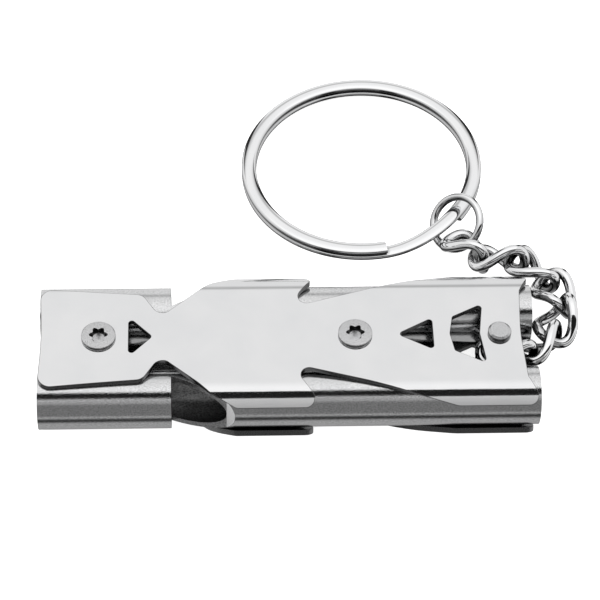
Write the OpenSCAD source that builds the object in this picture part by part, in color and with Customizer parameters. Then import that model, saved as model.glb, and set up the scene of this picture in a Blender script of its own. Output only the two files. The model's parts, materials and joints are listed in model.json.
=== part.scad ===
// Two-tube survival whistle with a curb chain and a split key ring.
// It lies on its lower plate: mouth end at -X, chain end at +X, up is +Z, all sizes in mm.
// The origin is the middle of the lower plate's underside.

/* [Tubes] */
// Length of each whistle tube
tube_l = 48; // [44:1:54]
// Outside diameter of a tube
tube_d = 5.6; // [5.4:0.1:6.2]
// Wall thickness of a tube
tube_wall = 0.5; // [0.35:0.05:0.7]
// Clear gap between the two tubes, where the first link of the chain lies
tube_gap = 4.4; // [4.4:0.1:6]
// Distance from the mouth end to the square shoulder of the sound window
window_start = 12.7; // [11:0.1:15]
// Length of the sloped sound window along the tube
window_l = 6.5; // [4:0.1:8]
// How far the window cuts past the tube axis at its shoulder
window_past = 0.55; // [-0.5:0.05:0.8]
// How far each window is turned round its tube, up on the front tube and down on the rear one
window_turn = 21; // [0:1:30]
// Height of the air slit left over the mouth plug
windway_h = 0.9; // [0.6:0.05:1.2]
// Length of the end stopper in the front tube
front_stop_l = 5; // [3:0.5:10]
// Length of the end stopper in the rear tube, longer so that it sounds a higher note
rear_stop_l = 8; // [3:0.5:12]
// Depth of a plug or stopper below the tube end
plug_inset = 0.5; // [0.2:0.1:1]

/* [Plates] */
// Sheet thickness of both folded plates
sheet_t = 0.55; // [0.45:0.05:0.8]
// Extra bend radius of a wing over the tube radius
wing_ease = 0.6; // [0.3:0.05:1]
// Angle a wing is folded round its tube
wing_sweep = 46; // [36:1:56]
// Half width of the plate at the mouth end
mouth_half = 5.9; // [5.2:0.1:6.4]
// Half width of the narrow neck behind the mouth section
neck_half = 2.9; // [2.6:0.1:3.6]
// Corner radius of the small cut-outs
cut_r = 0.3; // [0.15:0.05:0.6]

/* [Fasteners] */
// Thread diameter of the two screws
screw_d = 2; // [1.6:0.1:2.5]
// Diameter of a screw head
head_d = 3.3; // [2.8:0.1:4]
// Height of a screw head
head_h = 0.36; // [0.34:0.02:0.8]
// Length of a screw shank below the head
screw_l = 4.4; // [3.4:0.1:5]
// Size across the points of the six-lobe recess
recess_d = 1.8; // [1.4:0.05:2.2]
// Outside diameter of a threaded post
post_d = 3.6; // [3.2:0.1:4]
// Shank diameter of the chain pin
pin_d = 1.7; // [1.5:0.05:1.85]
// Distance of the chain pin from the tube ends
pin_inset = 3.62; // [3.4:0.02:3.7]
// Diameter of the pin head above the upper plate
pin_head_d = 2.25; // [2:0.05:2.8]
// Height of the pin head
pin_head_h = 0.55; // [0.4:0.05:1.2]

/* [Chain] */
// Wire diameter of the curb chain
link_wire = 0.95; // [0.8:0.05:1]
// Outside length of a link
link_l = 6.2; // [6.1:0.05:6.5]
// Outside width of a link
link_w = 4.4; // [4.2:0.05:4.6]
// Twist of a link, as a share of its half width, left-handed below zero
link_twist = -0.55; // [-0.6:0.01:-0.5]
// Slack between the wires of two hooked links
link_slack = 0.5; // [0.4:0.05:0.6]
// Slack between the pin and the link round it
pin_slack = 0.25; // [0.2:0.01:0.35]

/* [Rings] */
// Outside diameter of the jump ring
jump_d = 6.1; // [5.9:0.05:6.3]
// Wire diameter of the jump ring
jump_wire = 0.68; // [0.5:0.02:0.8]
// Outside diameter of the split key ring
ring_d = 25; // [20:0.5:32]
// Radial width of the key ring's strip
ring_w = 1.5; // [1.2:0.05:1.7]
// Thickness of one coil of the key ring
ring_t = 0.66; // [0.5:0.02:0.75]
// Slit between the two coils
ring_slit = 0.12; // [0.08:0.01:0.2]

/* [Hidden] */
$fn = 64;
// Radial clearance of a plug, post or screw in its hole
fit = 0.02;
// Clearance between seated faces
seat = 0.02;
// Overshoot of a cutting body
cut = 1;
half_l = tube_l / 2;
tube_r = tube_d / 2;
bore_r = tube_r - tube_wall;
tube_pitch = tube_d + tube_gap;
half_pitch = tube_pitch / 2;
axis_z = sheet_t + seat + tube_r;
top_in_z = 2 * axis_z - sheet_t;
top_z = 2 * axis_z;
window_x = window_start - half_l;
bend_r = tube_r + wing_ease;
wing_out = half_pitch + bend_r + sheet_t;
// The screws stand on the centre line at shares of the half length, the pin near the chain end
mouth_screw_x = -0.76 * half_l;
middle_screw_x = 0.268 * half_l;
pin_x = half_l - pin_inset;
// Wall round the thread where a post is let into the lower plate
spigot_wall = 0.4;
post_spigot_d = screw_d + 2 * spigot_wall;
// Height at which the threaded hole of a post ends
post_floor = 0.9;
// Radial play of a screw in the upper plate
screw_play = 0.1;
// How far the pin is flared out in the lower plate
pin_flare = 0.3;
pin_flare_d = pin_d + 2 * pin_flare;
pin_chamfer = 0.22;
head_dome = 0.1;
// Six-lobe recess: depth, then radii and places as shares of its size across the points
recess_depth = 0.28;
lobe_r = 0.14 * recess_d;
lobe_core_r = 0.44 * recess_d;
lobe_dent_r = 0.17 * recess_d;
lobe_dent_at = 0.51 * recess_d;
// Steps on each half of a rounded corner
corner_n = 4;

// Half-outline of a plate from the mouth end to the chain end.
// Each entry is a share of the half length, a half width and a corner radius.
outline_half = [
    [-1.000, mouth_half, 0.43 * tube_r],
    [-0.585, mouth_half - 0.28 * tube_r, 0.40 * tube_r],
    [-0.527, neck_half, 0.36 * tube_r],
    [-0.490, neck_half, 0.25 * tube_r],
    [-0.321, half_pitch + 0.50 * tube_r, 0.43 * tube_r],
    [-0.180, half_pitch + 1.09 * tube_r, 0.07 * tube_r],
    [-0.170, wing_out, 0.07 * tube_r],
    [0.105, wing_out, 0.07 * tube_r],
    [0.121, half_pitch + 0.93 * tube_r, 0.28 * tube_r],
    [0.043, half_pitch, 0.32 * tube_r],
    [0.050, half_pitch - 0.46 * tube_r, 0.28 * tube_r],
    [0.412, half_pitch + 0.41 * tube_r, 0.9 * tube_r],
    [0.667, half_pitch + 0.935 * tube_r, 1.8 * tube_r],
    [0.790, wing_out, 0.18 * tube_r],
    [0.975, wing_out, 0.07 * tube_r],
    [1.003, half_pitch + 0.91 * tube_r, 0.25 * tube_r],
    [0.948, half_pitch + 0.07 * tube_r, 0.32 * tube_r]
];
outline_mouth = [-0.9875, 0, 18 * tube_r];
outline_chain = [0.935, 0, 7 * tube_r];
// Cut-outs in shares of the half length and of the tube radius: two arrow heads and one flared slot.
mouth_arrow = [[-0.640, -0.84], [-0.546, 0], [-0.640, 0.84]];
middle_arrow = [[0.581, -0.68], [0.581, 0.68], [0.437, 0]];
flared_slot = [[0.650, 0], [0.665, 0.73], [0.788, 1.27], [0.769, 0], [0.788, -1.27], [0.665, -0.73]];

// Chain: one link hooks into the next; each entry is a heading, a nose-down angle and a roll.
link_a = (link_l - link_wire) / 2;
link_b = (link_w - link_wire) / 2;
link_c = link_twist * link_b;
link_pitch = 2 * link_a - link_wire - link_slack;
chain = [
    [0, 0, -51],
    [41.8, 5.4, -55.3],
    [69.8, -0.4, -26],
    [104.8, 7.9, 11.2],
    [143.5, -11.9, 41],
    [168.2, 9.8, 51.5],
    [125, 14, 46]
];
pin_link_x = pin_x + link_a - link_wire / 2 - pin_d / 2 - pin_slack;
link_rings = 28;
link_sides = 12;

// Jump ring: hooked through the last link, facing up and toward the front left.
// Its reach from that link is a share of its own radius.
jump_r = (jump_d - jump_wire) / 2;
jump_reach = 1.32;
jump_heading = 105.6;
jump_climb = 1.4;
jump_facing = -145.4;
jump_lean = 43.8;
jump_sides = 24;

// Key ring: two coils and the step between them, lifted where the jump ring holds it.
// It lies opposite its aim. The jump ring's centre is jump_inside within its mid line,
// and outside that line when jump_inside is below zero.
ring_out_r = ring_d / 2;
ring_r = (ring_d - ring_w) / 2;
ring_stack = 2 * ring_t + ring_slit;
ring_aim = -42.2;
jump_inside = -0.84;
// How far the key ring's mid plane passes below the jump ring's centre
ring_drop = 0.25;
step_end = 5;
step_sweep = 43;
ring_sweep = 720 - step_sweep;
ring_stations = 96;
ring_edge_r = 0.42 * ring_t;

function unit(v) = v / norm(v);

// Arc of radius r that rounds the corner at b, between its neighbours a and c.
function corner(a, b, c, r) =
    let (u = unit([a[0] - b[0], a[1] - b[1]]), v = unit([c[0] - b[0], c[1] - b[1]]))
    let (half = acos(max(-1, min(1, u * v))) / 2, m = unit(u + v))
    let (o = [b[0], b[1]] + m * r / sin(half))
    let (s = atan2(-m[1], -m[0]), turn = u[0] * v[1] - u[1] * v[0] > 0 ? -1 : 1)
    let (step = turn * (90 - half) / corner_n)
    [for (i = [-corner_n:corner_n]) o + r * [cos(s + step * i), sin(s + step * i)]];

// Closed outline with every corner rounded by its own radius.
function rounded(p) =
    let (n = len(p))
    [for (i = [0:n - 1]) each corner(p[(i + n - 1) % n], p[i], p[(i + 1) % n], p[i][2])];

function along(p) = [for (q = p) [q[0] * half_l, q[1], q[2]]];

function plate_outline() =
    let (up = along(outline_half), n = len(up))
    rounded(concat(
        along([outline_mouth]),
        up,
        along([outline_chain]),
        [for (i = [n - 1:-1:0]) [up[i][0], -up[i][1], up[i][2]]]
    ));

function heading(h) = [cos(h[0]) * cos(h[1]), sin(h[0]) * cos(h[1]), -sin(h[1])];

// Hook point at the far end of link i, walked along the chain from the pin.
function hook(i) =
    i == 0 ? [pin_link_x + link_pitch / 2, 0, axis_z] : hook(i - 1) + link_pitch * heading(chain[i]);

function link_at(i) = i == 0 ? [pin_link_x, 0, axis_z] : hook(i - 1) + link_pitch / 2 * heading(chain[i]);

last_link = len(chain) - 1;
jump_at = link_at(last_link) + jump_reach * jump_r * heading([jump_heading, -jump_climb]);
// The far edge of the key ring rests on the ground and the near edge is held by the jump ring.
ring_tilt = asin((jump_at[2] - ring_drop - ring_stack / 2) / (ring_out_r + ring_r - jump_inside));
ring_lift = ring_out_r * sin(ring_tilt) + ring_stack / 2;
ring_at = [
    jump_at[0] - (ring_r - jump_inside) * cos(ring_aim),
    jump_at[1] - (ring_r - jump_inside) * sin(ring_aim),
    ring_lift
];

function link_path(t) = [link_a * cos(t), link_b * sin(t), link_c * sin(2 * t)];
function link_dir(t) = unit([-link_a * sin(t), link_b * cos(t), 2 * link_c * cos(2 * t)]);

// Ring of points round the wire at angle t of a link.
function link_section(t) =
    let (p = link_path(t), d = link_dir(t), n = unit(p - (p * d) * d), b = cross(d, n))
    [for (j = [0:link_sides - 1])
        p + link_wire / 2 * (cos(360 * j / link_sides) * n + sin(360 * j / link_sides) * b)];

// Rounded strip section of the key ring, radial by vertical.
strip = rounded([
    [-ring_w / 2, -ring_t / 2, ring_edge_r],
    [ring_w / 2, -ring_t / 2, ring_edge_r],
    [ring_w / 2, ring_t / 2, ring_edge_r],
    [-ring_w / 2, ring_t / 2, ring_edge_r]
]);
strip_sides = [
    for (i = [0:3])
        each [for (j = [0:corner_n:2 * corner_n]) strip[(2 * corner_n + 1) * i + j]]
];

// Height of the coil at angle t: low coil, smooth step, high coil.
function ease(u) = u < 0 ? 0 : u > 1 ? 1 : (1 - cos(180 * u)) / 2;
function coil_z(t) = (ease((t - 360 + step_sweep) / step_sweep) - 0.5) * (ring_t + ring_slit);

function ring_section(t) =
    [for (q = strip_sides)
        [(ring_r + q[0]) * cos(t + step_end), (ring_r + q[0]) * sin(t + step_end), coil_z(t) + q[1]]];

// Skin of triangles over rings of points, closed on itself or capped at both ends.
module skin(rings, closed) {
    n = len(rings);
    m = len(rings[0]);
    last = closed ? n - 1 : n - 2;
    sides = [for (i = [0:last]) for (j = [0:m - 1])
        let (a = i * m + j, b = i * m + (j + 1) % m)
        let (c = ((i + 1) % n) * m + (j + 1) % m, d = ((i + 1) % n) * m + j)
        each [[a, c, b], [a, d, c]]];
    caps = closed ? [] : [[for (j = [0:m - 1]) j], [for (j = [m - 1:-1:0]) (n - 1) * m + j]];
    polyhedron(points = [for (r = rings) each r], faces = concat(sides, caps), convexity = 6);
}

// Cross-section of an upper plate: flat between the tube axes, folded down round each tube.
module plate_section() {
    translate([-half_pitch, 0])
        square([tube_pitch, sheet_t]);
    for (s = [-1, 1])
        translate([s * half_pitch, -bend_r])
            intersection() {
                difference() {
                    circle(r = bend_r + sheet_t);
                    circle(r = bend_r);
                }
                polygon([
                    [0, 0],
                    [0, 2 * bend_r],
                    [2 * bend_r * s * tan(wing_sweep), 2 * bend_r]
                ]);
            }
}

module cut_out(p) {
    translate([0, 0, -cut])
        linear_extrude(sheet_t + 2 * cut)
            polygon(rounded([for (q = p) [q[0] * half_l, q[1] * tube_r, cut_r]]));
}

module round_hole(x, d) {
    translate([x, 0, -cut])
        cylinder(d = d, h = sheet_t + 2 * cut);
}

// Folded plate with its flat underside at z = 0 and its wings hanging below.
module folded_plate(hole_d) {
    difference() {
        intersection() {
            translate([-tube_l, 0, 0])
                rotate([90, 0, 90])
                    linear_extrude(2 * tube_l)
                        plate_section();
            translate([0, 0, -tube_d])
                linear_extrude(2 * tube_d)
                    polygon(plate_outline());
        }
        cut_out(mouth_arrow);
        cut_out(middle_arrow);
        cut_out(flared_slot);
        round_hole(mouth_screw_x, hole_d);
        round_hole(middle_screw_x, hole_d);
        round_hole(pin_x, pin_d + 2 * fit);
    }
}

module upper_plate() {
    color("gainsboro")
        translate([0, 0, top_in_z])
            folded_plate(screw_d + 2 * screw_play);
}

module lower_plate() {
    color("gainsboro")
        difference() {
            translate([0, 0, sheet_t])
                mirror([0, 0, 1])
                    folded_plate(post_spigot_d + 2 * fit);
            translate([pin_x, 0, -fit])
                cylinder(d1 = pin_flare_d + 2 * fit, d2 = pin_d + 2 * fit, h = sheet_t / 2 + fit);
        }
}

// Straight tube on the X axis with its sound window cut from the outer side, toward -Y and turned up.
module whistle_tube() {
    difference() {
        translate([-half_l, 0, 0])
            rotate([0, 90, 0])
                cylinder(r = tube_r, h = tube_l);
        translate([-half_l - cut, 0, 0])
            rotate([0, 90, 0])
                cylinder(r = bore_r, h = tube_l + 2 * cut);
        rotate([-window_turn, 0, 0])
            translate([0, 0, -tube_d])
                linear_extrude(2 * tube_d)
                    polygon([
                        [window_x, window_past],
                        [window_x + window_l, -tube_r],
                        [window_x + window_l, -tube_d],
                        [window_x, -tube_d]
                    ]);
    }
}

// Plug under the air slit, flat on the outer side, from the mouth to the window.
module mouth_plug() {
    rotate([-window_turn, 0, 0])
        intersection() {
            translate([-half_l + plug_inset, 0, 0])
                rotate([0, 90, 0])
                    cylinder(r = bore_r - fit, h = window_start - plug_inset);
            translate([-half_l, -bore_r + windway_h, -tube_d])
                cube([tube_l, tube_d, 2 * tube_d]);
        }
}

module stopper(l) {
    translate([half_l - plug_inset - l, 0, 0])
        rotate([0, 90, 0])
            cylinder(r = bore_r - fit, h = l);
}

module front_side() {
    translate([0, -half_pitch, axis_z])
        children();
}

// The rear tube is the same part as the front one, turned over.
module rear_side() {
    translate([0, half_pitch, axis_z])
        rotate([180, 0, 0])
            children();
}

module front_tube() {
    color("silver")
        front_side()
            whistle_tube();
}

module rear_tube() {
    color("silver")
        rear_side()
            whistle_tube();
}

module front_mouth_plug() {
    color("dimgray")
        front_side()
            mouth_plug();
}

module rear_mouth_plug() {
    color("dimgray")
        rear_side()
            mouth_plug();
}

module front_stopper() {
    color("darkgray")
        front_side()
            stopper(front_stop_l);
}

module rear_stopper() {
    color("darkgray")
        rear_side()
            stopper(rear_stop_l);
}

// Threaded post between the plates, its spigot flush in the lower plate.
module post(x) {
    translate([x, 0, 0])
        difference() {
            union() {
                cylinder(d = post_spigot_d, h = sheet_t + seat + fit);
                translate([0, 0, sheet_t + seat])
                    cylinder(d = post_d, h = top_in_z - sheet_t - 2 * seat);
            }
            translate([0, 0, post_floor])
                cylinder(d = screw_d + 2 * fit, h = top_z);
        }
}

// Six-lobe outline of the driver recess.
module lobes() {
    difference() {
        circle(r = lobe_core_r);
        for (i = [0:5])
            rotate(60 * i + 30)
                translate([lobe_dent_at, 0])
                    circle(r = lobe_dent_r);
    }
    for (i = [0:5])
        rotate(60 * i)
            translate([recess_d / 2 - lobe_r, 0])
                circle(r = lobe_r);
}

// Low-head screw with a shallow domed top and a six-lobe recess.
module screw(x) {
    translate([x, 0, top_z + seat])
        difference() {
            union() {
                rotate_extrude()
                    polygon([
                        [0, 0],
                        [head_d / 2, 0],
                        [head_d / 2, head_h - 2 * head_dome],
                        [head_d / 2 - head_dome, head_h - head_dome],
                        [head_d / 4, head_h],
                        [0, head_h]
                    ]);
                translate([0, 0, -screw_l])
                    cylinder(d = screw_d, h = screw_l + head_h / 4);
            }
            translate([0, 0, head_h - recess_depth])
                linear_extrude(recess_depth + cut)
                    lobes();
        }
}

module mouth_post() {
    color("darkgray")
        post(mouth_screw_x);
}

module middle_post() {
    color("darkgray")
        post(middle_screw_x);
}

module mouth_screw() {
    color("lightgray")
        screw(mouth_screw_x);
}

module middle_screw() {
    color("lightgray")
        screw(middle_screw_x);
}

// Pin the chain hangs on: chamfered head on top, flared flush into the lower plate.
module chain_pin() {
    color("lightgray")
        translate([pin_x, 0, 0]) {
            cylinder(d1 = pin_flare_d, d2 = pin_d, h = sheet_t / 2);
            cylinder(d = pin_d, h = top_z + seat + pin_chamfer);
            translate([0, 0, top_z + seat])
                cylinder(d = pin_head_d, h = pin_head_h - pin_chamfer);
            translate([0, 0, top_z + seat + pin_head_h - pin_chamfer])
                cylinder(d1 = pin_head_d, d2 = pin_head_d - 2 * pin_chamfer, h = pin_chamfer);
        }
}

// Twisted curb link number i, counted from the pin.
module curb_link(i) {
    color("silver")
        translate(link_at(i))
            rotate([chain[i][2], chain[i][1], chain[i][0]])
                skin([for (k = [0:link_rings - 1]) link_section(360 * k / link_rings)], true);
}

module pin_link() {
    curb_link(0);
}

module chain_link_1() {
    curb_link(1);
}

module chain_link_2() {
    curb_link(2);
}

module chain_link_3() {
    curb_link(3);
}

module chain_link_4() {
    curb_link(4);
}

module chain_link_5() {
    curb_link(5);
}

module chain_link_6() {
    curb_link(6);
}

module jump_ring() {
    color("silver")
        translate(jump_at)
            rotate([0, jump_lean, jump_facing])
                rotate_extrude()
                    translate([jump_r, 0])
                        circle(d = jump_wire, $fn = jump_sides);
}

module key_ring() {
    color("silver")
        translate(ring_at)
            rotate([0, 0, ring_aim])
                rotate([0, -ring_tilt, 0])
                    skin([for (k = [0:ring_stations]) ring_section(ring_sweep * k / ring_stations)], false);
}

upper_plate();
lower_plate();
front_tube();
rear_tube();
front_mouth_plug();
rear_mouth_plug();
front_stopper();
rear_stopper();
mouth_post();
middle_post();
mouth_screw();
middle_screw();
chain_pin();
pin_link();
chain_link_1();
chain_link_2();
chain_link_3();
chain_link_4();
chain_link_5();
chain_link_6();
jump_ring();
key_ring();
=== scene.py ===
# %% [markdown]
# # A pocket survival whistle with its chain and key ring
# The whistle is all metal: polished sheet, polished tube, wire and spring strip. Nothing here is
# soft, so the work is in the edges and in the polish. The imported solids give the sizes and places.
# They stay where they are, and each one that shows is either kept with a better finish or stood for
# by a piece of nearly the same size with rounder edges.

# %% Load the frame
import json
import math

import bpy
from mathutils import Matrix, Vector


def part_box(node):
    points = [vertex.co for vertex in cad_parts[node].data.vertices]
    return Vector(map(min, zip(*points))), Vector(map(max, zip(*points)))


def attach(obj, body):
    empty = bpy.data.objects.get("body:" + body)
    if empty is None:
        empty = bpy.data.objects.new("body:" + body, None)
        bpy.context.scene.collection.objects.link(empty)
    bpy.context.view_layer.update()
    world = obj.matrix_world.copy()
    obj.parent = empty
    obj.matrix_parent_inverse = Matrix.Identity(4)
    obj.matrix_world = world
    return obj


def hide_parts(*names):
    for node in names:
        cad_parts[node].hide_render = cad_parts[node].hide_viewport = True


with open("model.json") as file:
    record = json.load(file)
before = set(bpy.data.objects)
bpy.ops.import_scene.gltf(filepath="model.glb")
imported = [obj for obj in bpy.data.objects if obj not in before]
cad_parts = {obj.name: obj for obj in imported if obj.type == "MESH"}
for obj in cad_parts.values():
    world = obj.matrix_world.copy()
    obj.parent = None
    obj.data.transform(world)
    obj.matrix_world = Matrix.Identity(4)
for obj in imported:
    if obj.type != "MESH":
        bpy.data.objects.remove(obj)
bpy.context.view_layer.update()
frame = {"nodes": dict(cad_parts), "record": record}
MM = 0.001

# %% [markdown]
# ## Camera
# The camera was solved from the tubes and the key ring: a long lens about 24 cm away, 52 degrees
# above the table and turned a little. A camera is placed by hand with a location and three turns.
# Here its right and up directions are given instead, and its third direction follows from them.

# %% Camera
# Millimetres
CAMERA_AT = Vector((-8.241, -143.385, 193.949))
CAMERA_RIGHT = Vector((0.99916, -0.03224, 0.02522))
CAMERA_UP = Vector((0.00968, 0.78488, 0.61957))
LENS = 147.12

bpy.ops.object.camera_add(location=CAMERA_AT * MM)
camera = bpy.context.object
camera.name = "photo_camera"
aimed = Matrix((CAMERA_RIGHT, CAMERA_UP, CAMERA_RIGHT.cross(CAMERA_UP))).transposed()
camera.rotation_euler = aimed.to_euler()
camera.data.lens = LENS
camera.data.clip_start = 0.01
bpy.context.scene.camera = camera
print("camera at", [round(c, 4) for c in camera.location])

# %% [markdown]
# ## Studio
# Polished metal has no colour of its own to show: it shows the room. The room here is a plain
# studio made of long bands that run beside the whistle: a white ceiling, pale walls and a shaded
# strip below. A ramp over the angle round the X axis draws those bands in the world, which is
# simpler and smoother than a set of lamps. A dark strip hangs low at each side, with a pale end
# wall past it, so that the rings and the chain get dark edges. As a product photographer does, a
# black card over the front and a grey card before it give the plates and tubes their dark lines.
# Only reflections see the cards. The floor is a plain pale sheet that glows a little, so that it
# stays white.

# %% Node helpers


def link(tree, a, b):
    tree.links.new(a, b)


def banded(tree, value, rows):
    """Grey that follows a value through rows of place and grey."""
    ramp = tree.nodes.new("ShaderNodeValToRGB")
    stops = ramp.color_ramp.elements
    while len(stops) < len(rows):
        stops.new(0.5)
    for stop, (place_on, grey) in zip(stops, rows):
        stop.position = place_on
        stop.color = (grey, grey, grey, 1)
    link(tree, value, ramp.inputs["Fac"])
    return ramp.outputs["Color"]


def ranged(tree, value, start, end, first=0.0, last=1.0):
    """Value brought from the range start to end into the range first to last."""
    node = tree.nodes.new("ShaderNodeMapRange")
    node.inputs["From Min"].default_value = start
    node.inputs["From Max"].default_value = end
    node.inputs["To Min"].default_value = first
    node.inputs["To Max"].default_value = last
    link(tree, value, node.inputs["Value"])
    return node.outputs["Result"]


def reckoned(tree, operation, values):
    """Result of one sum over values, which are sockets or numbers."""
    node = tree.nodes.new("ShaderNodeMath")
    node.operation = operation
    for socket, value in zip(node.inputs, values):
        if isinstance(value, float):
            socket.default_value = value
        else:
            link(tree, value, socket)
    return node.outputs[0]


def mixed(tree, blend, a, b):
    """Node that blends colour b into colour a, fully unless its factor is changed."""
    node = tree.nodes.new("ShaderNodeMix")
    node.data_type = "RGBA"
    node.blend_type = blend
    node.inputs["Factor"].default_value = 1.0
    link(tree, a, node.inputs["A"])
    if isinstance(b, float):
        node.inputs["B"].default_value = (b, b, b, 1)
    else:
        link(tree, b, node.inputs["B"])
    return node


# %% Room
# Degrees from overhead toward the front, brightness
BANDS = [
    (-180, 0.40), (-140, 0.12), (-128, 0.10), (-120, 0.80), (-70, 0.85), (-56, 0.45),
    (-46, 0.88), (-30, 0.90), (-8, 1.05), (10, 1.05), (28, 0.95), (35, 0.65),
    (42, 0.40), (54, 0.40), (64, 0.75), (96, 0.75), (102, 0.15), (104, 0.18),
    (110, 0.56), (115, 0.26), (120, 0.04), (131, 0.04), (141, 0.40), (180, 0.40),
]
# Share of a direction that runs to the side, brightness kept
SIDES = [(0, 1), (0.30, 1), (0.36, 0.03), (0.54, 0.03), (0.62, 1), (1, 1)]
# The side strips fade out between these shares of a direction that run up
STRIPS_FADE = (0.60, 0.45)
# The end walls fade in between these shares that run to the side
WALLS_START = (0.54, 0.62)
END_WALLS = 0.8


def build_room():
    world = bpy.data.worlds.new("studio")
    world.use_nodes = True
    bpy.context.scene.world = world
    tree = world.node_tree
    where = tree.nodes.new("ShaderNodeTexCoord")
    parts = tree.nodes.new("ShaderNodeSeparateXYZ")
    link(tree, where.outputs["Generated"], parts.inputs[0])
    x, y, z = parts.outputs
    front = reckoned(tree, "MULTIPLY", (y, -1.0))
    angle = reckoned(tree, "ARCTAN2", (front, z))
    share = ranged(tree, angle, -math.pi, math.pi)
    along = banded(tree, share, [((degrees + 180) / 360, grey) for degrees, grey in BANDS])
    sideways = reckoned(tree, "ABSOLUTE", (x,))
    both = mixed(tree, "MULTIPLY", along, banded(tree, sideways, SIDES))
    link(tree, ranged(tree, z, *STRIPS_FADE), both.inputs["Factor"])
    walls = mixed(tree, "MIX", both.outputs["Result"], END_WALLS)
    link(tree, ranged(tree, sideways, *WALLS_START), walls.inputs["Factor"])
    link(tree, walls.outputs["Result"], tree.nodes["Background"].inputs["Color"])


build_room()
bpy.context.scene.view_settings.view_transform = "Standard"
print("room bands:", len(BANDS))

# %% Floor, lamp and cards
FLOOR_DROP = 0.00003
FLOOR_GLOW = 0.80
CARD_L = 0.3
CARD_W = 0.021
UNSEEN_BY = ("visible_camera", "visible_diffuse", "visible_shadow", "visible_transmission")


def glowing(name, grey, rough, shine, glow):
    """Material of a stage object that gives off some light."""
    made = bpy.data.materials.new(name)
    made.use_nodes = True
    shader = made.node_tree.nodes["Principled BSDF"]
    shader.inputs["Base Color"].default_value = (grey, grey, grey, 1)
    shader.inputs["Roughness"].default_value = rough
    shader.inputs["Specular IOR Level"].default_value = shine
    shader.inputs["Emission Color"].default_value = (1, 1, 1, 1)
    shader.inputs["Emission Strength"].default_value = glow
    return made


def build_floor():
    bpy.ops.mesh.primitive_plane_add(size=4, location=(0, 0, -FLOOR_DROP))
    floor = bpy.context.object
    floor.name = "floor"
    floor.visible_glossy = False
    floor.data.materials.append(glowing("pale_paper", 0.9, 0.9, 0.5, FLOOR_GLOW))


def build_lamp():
    bpy.ops.object.light_add(type="SUN", location=(0, 0, 0.5))
    lamp = bpy.context.object
    lamp.name = "ceiling_lamp"
    lamp.data.energy = 1.0
    lamp.data.angle = math.radians(120)
    lamp.visible_glossy = False


def build_card(name, glow, at, turn):
    """Long card beside the whistle that only the metal sees."""
    bpy.ops.mesh.primitive_plane_add(size=1)
    card = bpy.context.object
    card.name = name
    card.scale = (CARD_L, CARD_W, 1)
    card.rotation_euler = (turn, 0, 0)
    card.location = at
    bpy.ops.object.transform_apply(location=True, rotation=True, scale=True)
    for flag in UNSEEN_BY:
        setattr(card, flag, False)
    card.data.materials.append(glowing(name, 0, 1.0, 0.0, glow))


build_floor()
build_lamp()
build_card("black_card", 0.01, (0, -0.0224, 0.046), 0)
build_card("grey_card", 0.20, (0, -0.028, 0.0105), math.pi / 2)
print("floor, lamp and cards are set")

# %% [markdown]
# ## Finishes
# All the metals share one recipe: a mirror-like shader whose roughness, bump and flecks come from
# fine noise in the piece's own coordinates. The plates are smooth with a faint brushing along their
# length, the tubes have a drawn grain with fine flecks, the screws are turned and satin, and the
# chain and rings are plated and bright. Two more steps paint shade into the plating's colour, to
# match the photo: where wires lie close together, and on the sides of a piece as it lies. Darker
# finishes paint shade on the plates' edges and undersides, in the bore, and on the screws' sides
# and recess walls.

# %% Metal recipe
CLOUD_SCALE = 260.0
BUMP_DEPTH = 0.00002
# Noise values between which a mark goes from its darkest to none
FLECK_RANGE = (0.35, 0.60)
# Open share of the surroundings between which the painted shade on plating goes from deepest to none
CLOSE_RANGE = (0.35, 0.9)
# Darkest share of a colour that the painted shade leaves
DEEPEST_PAINTED_SHADE = 0.06


def noise(tree, where, scale, detail):
    node = tree.nodes.new("ShaderNodeTexNoise")
    node.inputs["Scale"].default_value = scale
    node.inputs["Detail"].default_value = detail
    link(tree, where, node.inputs["Vector"])
    return node.outputs["Fac"]


def metal(name, tint, rough, spread, grain, stretch, bump, fleck=0.0):
    """Polished metal. tint: its grey; grain: size of its marks in mm; stretch: their length along
    X, Y and Z; fleck: how much darker the marks are."""
    made = bpy.data.materials.new(name)
    made.use_nodes = True
    tree = made.node_tree
    shader = tree.nodes["Principled BSDF"]
    shader.inputs["Metallic"].default_value = 1.0
    where = tree.nodes.new("ShaderNodeTexCoord").outputs["Object"]
    scale = tree.nodes.new("ShaderNodeMapping")
    scale.inputs["Scale"].default_value = [1 / MM / grain / s for s in stretch]
    link(tree, where, scale.inputs["Vector"])
    marks = noise(tree, scale.outputs["Vector"], 1.0, 3.0)
    gloss = ranged(tree, marks, 0.0, 1.0, rough - spread, rough + spread)
    link(tree, gloss, shader.inputs["Roughness"])
    shade = tree.nodes.new("ShaderNodeValToRGB")
    low, high = shade.color_ramp.elements
    low.position, high.position = 0.3, 0.7
    low.color = (tint * 0.95, tint * 0.955, tint * 0.965, 1)
    high.color = (tint, tint, tint * 1.005, 1)
    link(tree, noise(tree, where, CLOUD_SCALE, 2.0), shade.inputs["Fac"])
    pits = ranged(tree, marks, *FLECK_RANGE, 1 - fleck)
    flecked = mixed(tree, "MULTIPLY", shade.outputs["Color"], pits)
    link(tree, flecked.outputs["Result"], shader.inputs["Base Color"])
    raised = tree.nodes.new("ShaderNodeBump")
    raised.inputs["Strength"].default_value = bump
    raised.inputs["Distance"].default_value = BUMP_DEPTH
    link(tree, marks, raised.inputs["Height"])
    link(tree, raised.outputs["Normal"], shader.inputs["Normal"])
    return made


def dim(made, share):
    """Multiplies the colour of a finish by a share."""
    tree = made.node_tree
    colour = tree.nodes["Principled BSDF"].inputs["Base Color"]
    dulled = mixed(tree, "MULTIPLY", colour.links[0].from_socket, share)
    link(tree, dulled.outputs["Result"], colour)


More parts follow.
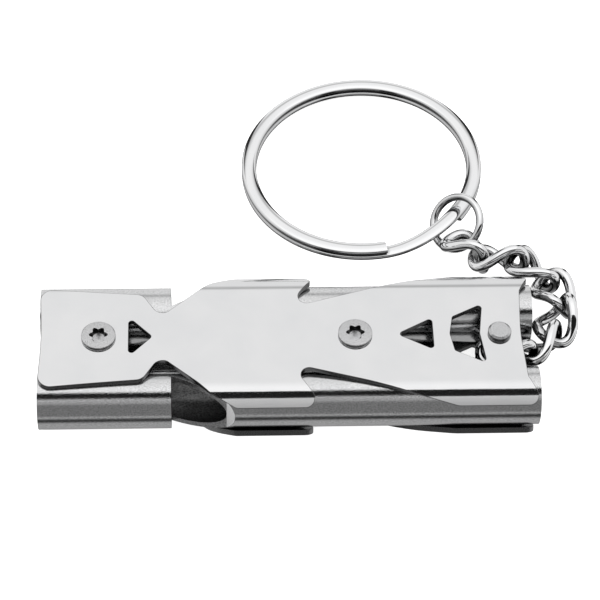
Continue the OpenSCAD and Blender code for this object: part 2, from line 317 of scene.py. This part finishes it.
def paint_close_shade(made, reach):
    """Paints shade into a finish where wires lie closer together than the reach in mm."""
    tree = made.node_tree
    near = tree.nodes.new("ShaderNodeAmbientOcclusion")
    near.samples = 8
    near.inputs["Distance"].default_value = reach * MM
    dim(made, ranged(tree, near.outputs["AO"], *CLOSE_RANGE, DEEPEST_PAINTED_SHADE))


def shade_sides(made, low, high):
    """Paints shade into a finish on the sides of a piece, which is a look fitted to the photo."""
    tree = made.node_tree
    where = tree.nodes.new("ShaderNodeTexCoord")
    parts = tree.nodes.new("ShaderNodeSeparateXYZ")
    link(tree, where.outputs["Normal"], parts.inputs[0])
    flat = reckoned(tree, "ABSOLUTE", (parts.outputs["Z"],))
    dim(made, ranged(tree, flat, low, high, DEEPEST_PAINTED_SHADE))


# %% Finishes
FINISHES = {
    "plate_steel": metal("polished_sheet", 0.86, 0.10, 0.03, 0.16, (14, 1, 1), 0.05),
    "tube_steel": metal("drawn_tube", 0.82, 0.12, 0.05, 0.08, (2, 1, 1), 0.36, 0.24),
    "plug_metal": metal("plug_grey", 0.30, 0.35, 0.08, 0.2, (1, 1, 1), 0.2),
    "post_steel": metal("turned_post", 0.55, 0.28, 0.08, 0.15, (1, 1, 3), 0.2),
    "screw_steel": metal("satin_screw", 0.77, 0.30, 0.08, 0.10, (1, 1, 1), 0.25, 0.35),
    "chain_steel": metal("plated_wire", 0.97, 0.06, 0.03, 0.25, (1, 1, 1), 0.10),
    "ring_steel": metal("plated_strip", 0.97, 0.06, 0.03, 0.3, (1, 1, 1), 0.06),
}
# Painted shade where wires lie close together, and painted shade on the sides of the chain and ring
paint_close_shade(FINISHES["chain_steel"], 1.6)
paint_close_shade(FINISHES["ring_steel"], 0.6)
shade_sides(FINISHES["chain_steel"], 0.05, 0.45)
shade_sides(FINISHES["ring_steel"], 0.28, 0.88)
# Plate edges: a rough edge finish whose dark tint is painted shade
SHEARED_SHADED_EDGE = metal("sheared_edge_painted_shade", 0.17, 0.28, 0.08, 0.10, (1, 1, 1), 0.3)
# Plate underside: its dark tint is painted shade under the plate
SHADED_UNDERSIDE = metal("plate_underside_painted_shade", 0.30, 0.26, 0.08, 0.16, (8, 1, 1), 0.3)
# Raw bore: rough and unpolished, with the shade inside the tube painted into its dark tint
RAW_SHADED_BORE = metal("raw_bore_painted_shade", 0.44, 0.36, 0.08, 0.10, (2, 1, 1), 0.5, 0.6)
GROUND = metal("ground_rim", 0.85, 0.32, 0.15, 0.07, (1, 1, 1), 1.0)
# Screw and pin sides: a turned finish whose dark tint is painted shade
TURNED_SHADED_SIDE = metal("turned_side_painted_shade", 0.16, 0.30, 0.08, 0.10, (1, 1, 1), 0.3)
# Recess walls: their dark tint is painted shade inside the recess
SHADED_RECESS_WALL = metal("recess_wall_painted_shade", 0.10, 0.30, 0.08, 0.10, (1, 1, 1), 0.3)
SLOT_OF = {p["node"]: p["material_slot"] for p in frame["record"]["subparts"]}
BODY_OF = {n: b for b, row in frame["record"]["behaviour"]["bodies"].items() for n in row}
for node, obj in frame["nodes"].items():
    obj.data.materials.clear()
    obj.data.materials.append(FINISHES[SLOT_OF[node]])
print("finishes:", ", ".join(FINISHES))

# %% [markdown]
# ## Sizes and hand tools
# The pieces are modelled in millimetres, as a maker's drawing gives them, and brought to metres
# when they are done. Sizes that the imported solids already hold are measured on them, so that a
# piece fits where its solid sits.

# %% Sizes


def size(node):
    """Length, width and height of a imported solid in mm."""
    low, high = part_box(node)
    return [(b - a) / MM for a, b in zip(low, high)]


def middle(node):
    """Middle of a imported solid's box in mm."""
    low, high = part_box(node)
    return Vector([(a + b) / 2 / MM for a, b in zip(low, high)])


TUBE_L = size("front_tube")[0]
TUBE_R = size("front_tube")[2] / 2
TUBE_WALL = 0.5
AXIS_Z = middle("front_tube").z
HALF_PITCH = middle("rear_tube").y
HALF_L = TUBE_L / 2
TOP_Z = 2 * AXIS_Z
SHEET_T = 0.55
# Clearance under a seated head
SEAT = 0.02
print("tube:", round(TUBE_L, 2), "long,", round(2 * TUBE_R, 2), "across")

# %% Hand tools


def only(piece):
    """Leaves one object selected and active."""
    bpy.ops.object.select_all(action="DESELECT")
    piece.select_set(True)
    bpy.context.view_layer.objects.active = piece


def edit_all(piece):
    """Opens one object for editing with all of it selected."""
    only(piece)
    bpy.ops.object.mode_set(mode="EDIT")
    bpy.ops.mesh.select_all(action="SELECT")


def close_edit():
    """Turns all faces outward and leaves edit mode."""
    bpy.ops.mesh.select_all(action="SELECT")
    bpy.ops.mesh.normals_make_consistent(inside=False)
    bpy.ops.object.mode_set(mode="OBJECT")


def prism(points, low, high):
    """Closed prism over an outline, from the height low to the height high."""
    bpy.ops.mesh.primitive_circle_add(vertices=len(points), radius=1, fill_type="NGON")
    made = bpy.context.object
    for vertex, point in zip(made.data.vertices, points):
        vertex.co = (point[0], point[1], low)
    edit_all(made)
    bpy.ops.mesh.extrude_region_move(TRANSFORM_OT_translate={"value": (0, 0, high - low)})
    close_edit()
    return made


def turned(profile, steps):
    """Turned piece: a profile of radii and heights is spun round the Z axis."""
    bpy.ops.mesh.primitive_circle_add(vertices=len(profile), radius=1, fill_type="NOTHING")
    made = bpy.context.object
    for vertex, (radius, height) in zip(made.data.vertices, profile):
        vertex.co = (radius, 0, height)
    edit_all(made)
    bpy.ops.mesh.spin(steps=steps, angle=2 * math.pi, center=(0, 0, 0), axis=(0, 0, 1))
    bpy.ops.mesh.select_all(action="SELECT")
    bpy.ops.mesh.remove_doubles(threshold=0.0005)
    bpy.ops.mesh.dissolve_degenerate(threshold=0.0005)
    close_edit()
    return made


def apply_all(piece):
    """Applies every modifier of a piece in order."""
    only(piece)
    for step in list(piece.modifiers):
        bpy.ops.object.modifier_apply(modifier=step.name)


def carve(piece, cutter):
    """Cuts a closed form out of a piece and throws the form away."""
    cut = piece.modifiers.new("cut", "BOOLEAN")
    cut.operation = "DIFFERENCE"
    cut.solver = "EXACT"
    cut.object = cutter
    apply_all(piece)
    bpy.data.objects.remove(cutter, do_unlink=True)


def round_edges(piece, width, limit):
    """Rounds every edge that is sharper than the limit."""
    edge = piece.modifiers.new("edge", "BEVEL")
    edge.width = width
    edge.segments = 3
    edge.limit_method = "ANGLE"
    edge.angle_limit = math.radians(limit)
    apply_all(piece)


def smooth(piece, limit):
    """Smooths the shading of a piece, with the large faces kept flat."""
    only(piece)
    bpy.ops.object.shade_smooth_by_angle(angle=math.radians(limit))
    even = piece.modifiers.new("even", "WEIGHTED_NORMAL")
    even.keep_sharp = True
    apply_all(piece)


def soften(piece, width, limit):
    """Rounds the sharp edges of a piece and smooths its shading."""
    round_edges(piece, width, limit)
    smooth(piece, limit)


def place(piece, name, at, turns=(0, 0, 0)):
    """Names a piece, turns it, moves it to its place in mm and brings it to metres."""
    only(piece)
    piece.name = name
    piece.rotation_euler = turns
    piece.location = at
    bpy.ops.object.transform_apply(location=True, rotation=True, scale=True)
    piece.scale = (MM, MM, MM)
    bpy.ops.object.transform_apply(location=False, rotation=False, scale=True)
    return piece


def stand_for(piece, node):
    """Lets a piece take the place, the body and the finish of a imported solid."""
    if not piece.data.materials:
        piece.data.materials.append(FINISHES[SLOT_OF[node]])
    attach(piece, BODY_OF[node])
    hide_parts(node)
    print(piece.name, "stands for", node, "with", len(piece.data.polygons), "faces")


def finish(piece, main, other_faces):
    """Gives a piece its main finish, and other finishes to the faces that their tests pick."""
    piece.data.materials.append(FINISHES[main])
    for i, (other, picked) in enumerate(other_faces):
        piece.data.materials.append(other)
        for face in piece.data.polygons:
            if picked(face):
                face.material_index = i + 1


def copy_of(piece):
    """Copy of a piece with its own mesh."""
    twin = piece.copy()
    twin.data = piece.data.copy()
    bpy.context.collection.objects.link(twin)
    return twin


# %% [markdown]
# ## Folded plates
# Each plate is one stamping: a blank is cut from sheet, pierced, and its four wings are folded
# round the tubes. It is made here in the same order. The blank's outline is drawn flat, raised to
# the sheet's thickness and pierced, then its edges are rounded. Then lines are scored along each
# wing and every point past the fold line is rolled round the tube: a tight bend first, then a flank
# that is nearly flat. The lower plate is the same stamping turned over, with wider holes for the
# posts.

# %% Plate sizes
FOLD_LINE = HALF_PITCH + 0.4
WING_L = 2.57
# Each stretch of a wing from its fold line outward: radius in the middle of the sheet, degrees
WING_ARCS = [(2.725, 36), (20, 12)]
MOUTH_HALF = 5.9
NECK_HALF = 2.9
CUT_R = 0.3
CORNER_STEPS = 5
FOLD_STEPS = 20
EDGE_ROUND = 0.17
SCREW_HOLE = 2.2
POST_HOLE = 2.84
PIN_HOLE = 1.74
PIN_FLARE = 0.3
# How far the funnel's cutter runs past the sheet
FLARE_PAST = 0.02
HOLE_POINTS = 64
# Angle in degrees past which an edge counts as sharp
SHARP = 30
# Upright share of a normal past which a face of the blank counts as flat
FLAT = 0.98
MOUTH_SCREW_X = middle("mouth_screw").x
MIDDLE_SCREW_X = middle("middle_screw").x
PIN_X = middle("chain_pin").x
print("holes at", round(MOUTH_SCREW_X, 2), round(MIDDLE_SCREW_X, 2), round(PIN_X, 2))

# %% Wing shape


def rolled(past, height):
    """Where a point of the blank past its fold line goes: outward and up from that line's foot."""
    at = Vector((0, SHEET_T / 2))
    facing = 0
    for radius, sweep in WING_ARCS:
        turn = min(past / radius, math.radians(sweep))
        past -= turn * radius
        centre = at - radius * Vector((math.sin(facing), math.cos(facing)))
        facing += turn
        at = centre + radius * Vector((math.sin(facing), math.cos(facing)))
    return at + (height - SHEET_T / 2) * Vector((math.sin(facing), math.cos(facing)))


def unrolled(width):
    """Half width on the flat blank for a half width seen from above on the folded plate."""
    reach = width - FOLD_LINE
    if reach <= 0:
        return width
    low, high = reach, 2 * reach
    for _ in range(30):
        guess = (low + high) / 2
        if rolled(guess, SHEET_T / 2).x < reach:
            low = guess
        else:
            high = guess
    return FOLD_LINE + low


WING_EDGE = FOLD_LINE + rolled(WING_L, SHEET_T / 2).x
print("wings reach", round(WING_EDGE, 2), "from the middle")

# %% Plate outline
# Share of the half length, half width seen from above, corner radius
OUTLINE = [
    (-1.000, MOUTH_HALF, 1.2),
    (-0.585, MOUTH_HALF - 0.78, 1.12),
    (-0.527, NECK_HALF, 1.0),
    (-0.490, NECK_HALF, 0.7),
    (-0.321, HALF_PITCH + 1.40, 1.6),
    (-0.215, WING_EDGE, 0.9),
    (0.133, WING_EDGE, 0.9),
    (0.043, HALF_PITCH, 0.9),
    (0.050, HALF_PITCH - 1.30, 0.8),
    (0.412, HALF_PITCH + 1.15, 2.5),
    (0.667, WING_EDGE, 2.5),
    (1.010, WING_EDGE, 0.9),
    (0.948, HALF_PITCH + 0.20, 0.9),
]
MOUTH_EDGE = (-0.9875, 0, 50)
CHAIN_EDGE = (0.935, 0, 20)
MOUTH_ARROW = [(-0.640, -2.35), (-0.546, 0), (-0.640, 2.35)]
MIDDLE_ARROW = [(0.581, -1.90), (0.581, 1.90), (0.437, 0)]
FLARED_SLOT = [
    (0.650, 0), (0.665, 2.04), (0.788, 3.56), (0.769, 0), (0.788, -3.56), (0.665, -2.04)
]


def corner(before, at, after, radius):
    """Arc that rounds one corner of an outline."""
    back = (before - at).normalized()
    ahead = (after - at).normalized()
    half = math.acos(max(-1, min(1, back.dot(ahead)))) / 2
    inward = (back + ahead).normalized()
    centre = at + inward * radius / math.sin(half)
    start = math.atan2(-inward.y, -inward.x)
    turn = -1 if back.x * ahead.y - back.y * ahead.x > 0 else 1
    step = turn * (math.pi / 2 - half) / CORNER_STEPS
    angles = [start + step * i for i in range(-CORNER_STEPS, CORNER_STEPS + 1)]
    return [centre + radius * Vector((math.cos(a), math.sin(a))) for a in angles]


def rounded(rows):
    """Closed outline through rows of x, y and corner radius."""
    spots = [Vector(row[:2]) for row in rows]
    count = len(rows)
    made = []
    for i, row in enumerate(rows):
        made += corner(spots[i - 1], spots[i], spots[(i + 1) % count], row[2])
    return made


def blank_outline():
    one_side = [(x * HALF_L, unrolled(y), r) for x, y, r in OUTLINE]
    other_side = [(x, -y, r) for x, y, r in reversed(one_side)]
    mouth = [(MOUTH_EDGE[0] * HALF_L, 0, MOUTH_EDGE[2])]
    chain = [(CHAIN_EDGE[0] * HALF_L, 0, CHAIN_EDGE[2])]
    return rounded(mouth + one_side + chain + other_side)


def pierce(blank, rows):
    """Cuts one pointed opening through the blank."""
    outline = rounded([(x * HALF_L, y, CUT_R) for x, y in rows])
    carve(blank, prism(outline, -1, 1 + SHEET_T))


def drill(blank, x, across):
    """Drills one round hole through the blank."""
    bpy.ops.mesh.primitive_cylinder_add(
        vertices=HOLE_POINTS, radius=across / 2, depth=4, location=(x, 0, 0)
    )
    bpy.ops.object.transform_apply(location=True)
    carve(blank, bpy.context.object)


# %% Fold a plate


def score(blank):
    """Scores the fold lines along both wings, so that they can be rolled."""
    edit_all(blank)
    for side in (-1, 1):
        for i in range(FOLD_STEPS):
            y = side * (FOLD_LINE + WING_L * i / FOLD_STEPS)
            bpy.ops.mesh.select_all(action="SELECT")
            bpy.ops.mesh.bisect(plane_co=(0, y, 0), plane_no=(0, 1, 0))
    close_edit()


def fold(blank):
    """Rolls every point past a fold line round its tube."""
    for vertex in blank.data.vertices:
        past = abs(vertex.co.y) - FOLD_LINE
        if past > 0:
            out, up = rolled(past, vertex.co.z)
            vertex.co.y = math.copysign(FOLD_LINE + out, vertex.co.y)
            vertex.co.z = up


def flare(blank):
    """Opens the pin's hole like a funnel, so that the pin can be spread into it."""
    deep = SHEET_T / 2 + FLARE_PAST
    bpy.ops.mesh.primitive_cone_add(
        vertices=HOLE_POINTS, radius1=PIN_HOLE / 2, radius2=PIN_HOLE / 2 + PIN_FLARE,
        depth=deep, location=(PIN_X, 0, SHEET_T / 2 + deep / 2)
    )
    bpy.ops.object.transform_apply(location=True)
    carve(blank, bpy.context.object)


def plate(screw_hole, flared):
    """Folded plate with its flat underside at height 0 and its wings hanging below."""
    blank = prism(blank_outline(), 0, SHEET_T)
    for rows in (MOUTH_ARROW, MIDDLE_ARROW, FLARED_SLOT):
        pierce(blank, rows)
    for x in (MOUTH_SCREW_X, MIDDLE_SCREW_X):
        drill(blank, x, screw_hole)
    drill(blank, PIN_X, PIN_HOLE)
    if flared:
        flare(blank)
    round_edges(blank, EDGE_ROUND, SHARP)
    # The edges get a darker finish that paints shade
    edges = (SHEARED_SHADED_EDGE, lambda face: abs(face.normal.z) < FLAT)
    # The underside gets a darker finish that paints shade
    underside = (SHADED_UNDERSIDE, lambda face: face.normal.z < -FLAT)
    finish(blank, "plate_steel", [edges, underside])
    score(blank)
    fold(blank)
    smooth(blank, SHARP)
    return blank


upper = place(plate(SCREW_HOLE, False), "folded_upper_plate", (0, 0, TOP_Z - SHEET_T))
stand_for(upper, "upper_plate")
turned_over = (math.pi, 0, 0)
lower = place(plate(POST_HOLE, True), "folded_lower_plate", (0, 0, SHEET_T), turned_over)
stand_for(lower, "lower_plate")

# %% [markdown]
# ## Tubes
# The two sounding tubes are drawn tube. A tube is a cylinder without ends that gets its wall from
# Solidify, and its window is a wedge sawn out of the outer side: square at its shoulder, sloping
# out toward the chain, with a steeper ground lip at the end. The wedge is turned a little round the
# tube, so that the window looks up. The bore is left raw, and its darker colour is painted shade.

# %% Tubes
BORE_R = TUBE_R - TUBE_WALL
WINDOW_START = 12.7
WINDOW_X = WINDOW_START - HALF_L
WINDOW_L = 6.05
WINDOW_PAST = 0.12
WINDOW_TURN = math.radians(13)
LIP_SHARE = 0.87
TUBE_POINTS = 160
# Depth past which a face is no longer part of the outside
SKIN = 0.03


def from_axis(face):
    """Distance of a face's middle from the axis of a tube that lies along X."""
    return math.hypot(face.center.y, face.center.z)


def tube(side):
    """Tube on the X axis with its window on one side, toward -Y or +Y, turned a little up."""
    bpy.ops.mesh.primitive_cylinder_add(
        vertices=TUBE_POINTS, radius=TUBE_R, depth=TUBE_L,
        end_fill_type="NOTHING", rotation=(0, math.pi / 2, 0)
    )
    made = bpy.context.object
    bpy.ops.object.transform_apply(rotation=True)
    wall = made.modifiers.new("wall", "SOLIDIFY")
    wall.thickness = TUBE_WALL
    wall.offset = -1
    apply_all(made)
    outline = [
        (WINDOW_X, -side * WINDOW_PAST),
        (WINDOW_X, side * 3 * TUBE_R),
        (WINDOW_X + WINDOW_L, side * 3 * TUBE_R),
        (WINDOW_X + WINDOW_L, side * TUBE_R),
        (WINDOW_X + WINDOW_L * LIP_SHARE, side * BORE_R),
    ]
    wedge = prism(outline, -2 * TUBE_R, 2 * TUBE_R)
    wedge.rotation_euler = (side * WINDOW_TURN, 0, 0)
    only(wedge)
    bpy.ops.object.transform_apply(rotation=True)
    carve(made, wedge)
    soften(made, 0.07, SHARP)
    lip_x = WINDOW_X + WINDOW_L * 0.5
    under = TUBE_R - SKIN
    # The bore's darker finish paints the shade inside the tube
    inside = (RAW_SHADED_BORE, lambda face: from_axis(face) < under)
    lip = (GROUND, lambda face: BORE_R < from_axis(face) < under and lip_x < face.center.x < 0)
    finish(made, "tube_steel", [inside, lip])
    return made


front = place(tube(-1), "drawn_front_tube", (0, -HALF_PITCH, AXIS_Z))
stand_for(front, "front_tube")
rear = place(tube(1), "drawn_rear_tube", (0, HALF_PITCH, AXIS_Z))
stand_for(rear, "rear_tube")

# %% [markdown]
# ## Screws and pin
# Both screws are turned: a low head with a rounded shoulder, and a shank that goes into a post.
# Their profile is spun round the axis and the six-lobe driver recess is punched into the head. The
# pin is turned in the same way, with a flat head that has a chamfer.

# %% Screws
HEAD_R = size("mouth_screw")[0] / 2
HEAD_H = 0.36
SHANK_R = 1.0
SHANK_L = size("mouth_screw")[2] - HEAD_H
HEAD_DOME = 0.04
SHOULDER = 0.12
RECESS_R = 0.78
RECESS_WAVE = 0.13
RECESS_DEPTH = 0.5
RECESS_POINT = 0.3
RECESS_POINTS = 72
POINT_R = 0.75 * RECESS_R
POINT_SIDES = 48
# Overlap of the point's cone with the recess, and depth past which a face belongs to the point
POINT_LAP = 0.01
POINT_SKIN = 0.02
ARC_STEPS = 8
TURN_STEPS = 96
SHANK_POINT = 0.2
HEAD_EDGE = 0.05
HEAD_FLAT = 0.55


def from_middle(face):
    """Distance of a face's middle from the axis of an upright piece."""
    return math.hypot(face.center.x, face.center.y)


def drill_point():
    """Cone that deepens the middle of the recess."""
    bpy.ops.mesh.primitive_cone_add(
        vertices=POINT_SIDES, radius1=0, radius2=POINT_R, depth=RECESS_POINT,
        location=(0, 0, HEAD_H - RECESS_DEPTH - RECESS_POINT / 2 + POINT_LAP)
    )
    bpy.ops.object.transform_apply(location=True)
    return bpy.context.object


def screw():
    """Screw with its head standing on height 0 and its shank below."""
    arc = [math.pi / 2 * i / ARC_STEPS for i in range(ARC_STEPS + 1)]
    rim = HEAD_H - HEAD_DOME - SHOULDER
    dome = [(HEAD_R - SHOULDER * (1 - math.cos(a)), rim + SHOULDER * math.sin(a)) for a in arc]
    profile = [(0, -SHANK_L), (SHANK_R - SHANK_POINT, -SHANK_L)]
    profile += [(SHANK_R, SHANK_POINT - SHANK_L), (SHANK_R, 0)]
    profile += [(HEAD_R - HEAD_EDGE, 0), (HEAD_R, HEAD_EDGE)] + dome
    profile += [(HEAD_R * HEAD_FLAT, HEAD_H), (0, HEAD_H)]
    made = turned(profile, TURN_STEPS)
    around = [2 * math.pi * i / RECESS_POINTS for i in range(RECESS_POINTS)]
    lobes = [(RECESS_R + RECESS_WAVE * math.cos(6 * a), a) for a in around]
    outline = [(r * math.cos(a), r * math.sin(a)) for r, a in lobes]
    recess_z = HEAD_H - RECESS_DEPTH
    carve(made, prism(outline, recess_z, HEAD_H + 1))
    carve(made, drill_point())
    soften(made, 0.03, 40)
    reach = RECESS_R + RECESS_WAVE
    rim_z = HEAD_H - SKIN
    point_z = recess_z - POINT_SKIN
    satin = FINISHES["screw_steel"]
    # The head's side gets a darker finish that paints shade
    side = (TURNED_SHADED_SIDE, lambda face: abs(face.normal.z) < 0.4 and face.center.z > 0)
    # The recess walls get a darker finish that paints shade
    wall = (SHADED_RECESS_WALL, lambda face: from_middle(face) < reach and face.center.z < rim_z)
    point = (satin, lambda face: from_middle(face) < RECESS_R and face.center.z < point_z)
    finish(made, "screw_steel", [side, wall, point])
    return made


first = screw()
second = copy_of(first)
screws = ((first, "mouth_screw", MOUTH_SCREW_X), (second, "middle_screw", MIDDLE_SCREW_X))
for piece, node, x in screws:
    place(piece, "turned_" + node, (x, 0, TOP_Z + SEAT))
    stand_for(piece, node)

# %% Chain pin
PIN_R = 0.85
PIN_HEAD_R = 1.125
PIN_HEAD_H = size("chain_pin")[2] - TOP_Z - SEAT
PIN_CHAMFER = 0.22
PIN_FLARE_R = 1.15


def pin():
    """Pin with its spread end at height 0."""
    head = TOP_Z + SEAT
    top = head + PIN_HEAD_H
    profile = [(0, 0), (PIN_FLARE_R, 0), (PIN_R, SHEET_T / 2), (PIN_R, head)]
    profile += [(PIN_HEAD_R, head), (PIN_HEAD_R, top - PIN_CHAMFER)]
    profile += [(PIN_HEAD_R - PIN_CHAMFER, top), (0, top)]
    made = turned(profile, TURN_STEPS)
    soften(made, 0.05, 25)
    # The pin's side gets a darker finish that paints shade
    finish(made, "screw_steel", [(TURNED_SHADED_SIDE, lambda face: abs(face.normal.z) < 0.6)])
    return made


stud = place(pin(), "turned_chain_pin", (PIN_X, 0, 0))
stand_for(stud, "chain_pin")

# %% [markdown]
# ## Curb chain
# A curb link is an oval of wire that is twisted until the chain lies flat. One link is drawn as a
# closed curve with a round bevel and turned into a mesh, with the wire a little fuller than the
# solid's, to match the photo. Copies of it are walked along the chain: each hooks into the one
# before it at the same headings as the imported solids.

# %% Links
# Wire of the solid, which sets the hooks, and wire as it is shown
LINK_WIRE = 0.95
LINK_LOOK = 1.04
LINK_L = 6.2
LINK_W = 4.4
LINK_TWIST = -0.55
LINK_SLACK = 0.5
PIN_SLACK = 0.25
LINK_A = (LINK_L - LINK_WIRE) / 2
LINK_B = (LINK_W - LINK_WIRE) / 2
LINK_C = LINK_TWIST * LINK_B
LINK_PITCH = 2 * LINK_A - LINK_WIRE - LINK_SLACK
LINK_POINTS = 120
# Node, heading, nose-down angle and roll in degrees
CHAIN = [
    ("pin_link", 0, 0, -51),
    ("chain_link_1", 41.8, 5.4, -55.3),
    ("chain_link_2", 69.8, -0.4, -26),
    ("chain_link_3", 104.8, 7.9, 11.2),
    ("chain_link_4", 143.5, -11.9, 41),
    ("chain_link_5", 168.2, 9.8, 51.5),
    ("chain_link_6", 125, 14, 46),
]


def drawn(name, points, closed):
    """Curve object through points in mm."""
    data = bpy.data.curves.new(name, "CURVE")
    data.dimensions = "3D"
    line = data.splines.new("POLY")
    line.points.add(len(points) - 1)
    line.use_cyclic_u = closed
    for spot, point in zip(line.points, points):
        spot.co = (point[0], point[1], point[2], 1)
    made = bpy.data.objects.new(name, data)
    bpy.context.collection.objects.link(made)
    return made


def link_of_wire():
    """Closed twisted oval of round wire."""
    turns = [2 * math.pi * i / LINK_POINTS for i in range(LINK_POINTS)]
    oval = [
        (LINK_A * math.cos(t), LINK_B * math.sin(t), LINK_C * math.sin(2 * t)) for t in turns
    ]
    made = drawn("link_wire", oval, True)
    made.data.bevel_depth = LINK_LOOK / 2
    made.data.bevel_resolution = 7
    only(made)
    bpy.ops.object.convert(target="MESH")
    bpy.ops.object.shade_smooth()
    return made


def heading(yaw, nose_down):
    """Direction of a link from its turn about Z and how far its nose points down."""
    flat = math.cos(nose_down)
    return Vector((math.cos(yaw) * flat, math.sin(yaw) * flat, -math.sin(nose_down)))


def walk_chain():
    """Copies of the link at each place along the chain. Returns the middle of the last one."""
    pattern = link_of_wire()
    at = Vector((PIN_X + LINK_A - LINK_WIRE / 2 - PIN_R - PIN_SLACK, 0, AXIS_Z))
    hook = at
    for i, (node, yaw, nose_down, roll) in enumerate(CHAIN):
        turns = [math.radians(d) for d in (roll, nose_down, yaw)]
        along = heading(turns[2], turns[1])
        if i > 0:
            at = hook + along * LINK_PITCH / 2
        hook = at + along * LINK_PITCH / 2
        piece = place(copy_of(pattern), "wire_" + node, at, turns)
        stand_for(piece, node)
    bpy.data.objects.remove(pattern, do_unlink=True)
    return at


last_link = walk_chain()

# %% [markdown]
# ## Jump ring and key ring
# The jump ring is a bent length of round wire whose two ends are butted, so it is a torus with a
# fine saw cut where they meet. The key ring is strip with crowned faces, wound twice: its path
# rises by one strip in a short step under the jump ring. An oval as wide and as thick as the strip
# is swept along that path, which keeps the edges even all the way round.

# %% Jump ring
JUMP_D = 6.1
# Wire of the solid and wire as it is shown
JUMP_WIRE = 0.68
JUMP_LOOK = 0.78
JUMP_R = (JUMP_D - JUMP_WIRE) / 2
JUMP_BUTT = 0.04
# Way from the last link to the middle of the jump ring, in radii and angles, and how the ring turns
JUMP_REACH = 1.32
JUMP_HEADING = math.radians(105.6)
JUMP_CLIMB = math.radians(1.4)
JUMP_FACING = math.radians(-145.4)
JUMP_LEAN = math.radians(43.8)
jump_at = last_link + JUMP_REACH * JUMP_R * heading(JUMP_HEADING, -JUMP_CLIMB)


def wire_ring():
    """Ring of round wire with its ends butted."""
    bpy.ops.mesh.primitive_torus_add(
        major_radius=JUMP_R, minor_radius=JUMP_LOOK / 2, major_segments=120, minor_segments=28
    )
    made = bpy.context.object
    wide = 2 * JUMP_WIRE
    far = 2 * JUMP_R
    half_cut = JUMP_BUTT / 2
    saw = [(0, -half_cut), (far, -half_cut), (far, half_cut), (0, half_cut)]
    carve(made, prism(saw, -wide, wide))
    soften(made, 0.03, 50)
    return made


bent = place(wire_ring(), "bent_jump_ring", jump_at, (0, JUMP_LEAN, JUMP_FACING))
stand_for(bent, "jump_ring")

# %% Key ring
RING_D = 25.0
RING_W = 1.5
RING_T = 0.72
RING_SLIT = 0.06
RING_EDGE_POINTS = 40
RING_R = (RING_D - RING_W) / 2
RING_AIM = math.radians(-42.2)
# How far the key ring passes under the jump ring's middle
RING_DROP = 0.25
# How far that middle lies inside the coil's middle line, less than 0 when it lies outside
JUMP_INSIDE = -0.84
# Where the strip's step up to the high coil ends, and how far it runs
STEP_END = math.radians(5)
STEP_SWEEP = math.radians(43)
RING_SWEEP = 4 * math.pi - STEP_SWEEP
RING_POINTS = 320


def coil_height(t):
    """Height of the strip after turning by t: low coil, smooth step, high coil."""
    share = (t - 2 * math.pi + STEP_SWEEP) / STEP_SWEEP
    share = max(0, min(1, share))
    return ((1 - math.cos(math.pi * share)) / 2 - 0.5) * (RING_T + RING_SLIT)


def split_ring():
    """Strip wound twice round the Z axis."""
    around = [2 * math.pi * i / RING_EDGE_POINTS for i in range(RING_EDGE_POINTS)]
    oval = [(RING_W / 2 * math.cos(a), RING_T / 2 * math.sin(a), 0) for a in around]
    strip = drawn("strip", oval, True)
    turns = [RING_SWEEP * i / (RING_POINTS - 1) for i in range(RING_POINTS)]
    route = [
        (RING_R * math.cos(t + STEP_END), RING_R * math.sin(t + STEP_END), coil_height(t))
        for t in turns
    ]
    made = drawn("coil", route, False)
    made.data.twist_mode = "Z_UP"
    made.data.bevel_mode = "OBJECT"
    made.data.bevel_object = strip
    made.data.use_fill_caps = True
    only(made)
    bpy.ops.object.convert(target="MESH")
    bpy.data.objects.remove(strip, do_unlink=True)
    edit_all(made)
    bpy.ops.mesh.remove_doubles(threshold=0.0005)
    close_edit()
    soften(made, 0.06, 50)
    return made


back_by = RING_R - JUMP_INSIDE
half_stack = RING_T + RING_SLIT / 2
RING_TILT = math.asin((jump_at.z - RING_DROP - half_stack) / (RING_D / 2 + back_by))
ring_lift = RING_D / 2 * math.sin(RING_TILT) + half_stack
ring_x = jump_at.x - back_by * math.cos(RING_AIM)
ring_y = jump_at.y - back_by * math.sin(RING_AIM)
ring_at = Vector((ring_x, ring_y, ring_lift))
wound = place(split_ring(), "wound_key_ring", ring_at, (0, -RING_TILT, RING_AIM))
stand_for(wound, "key_ring")
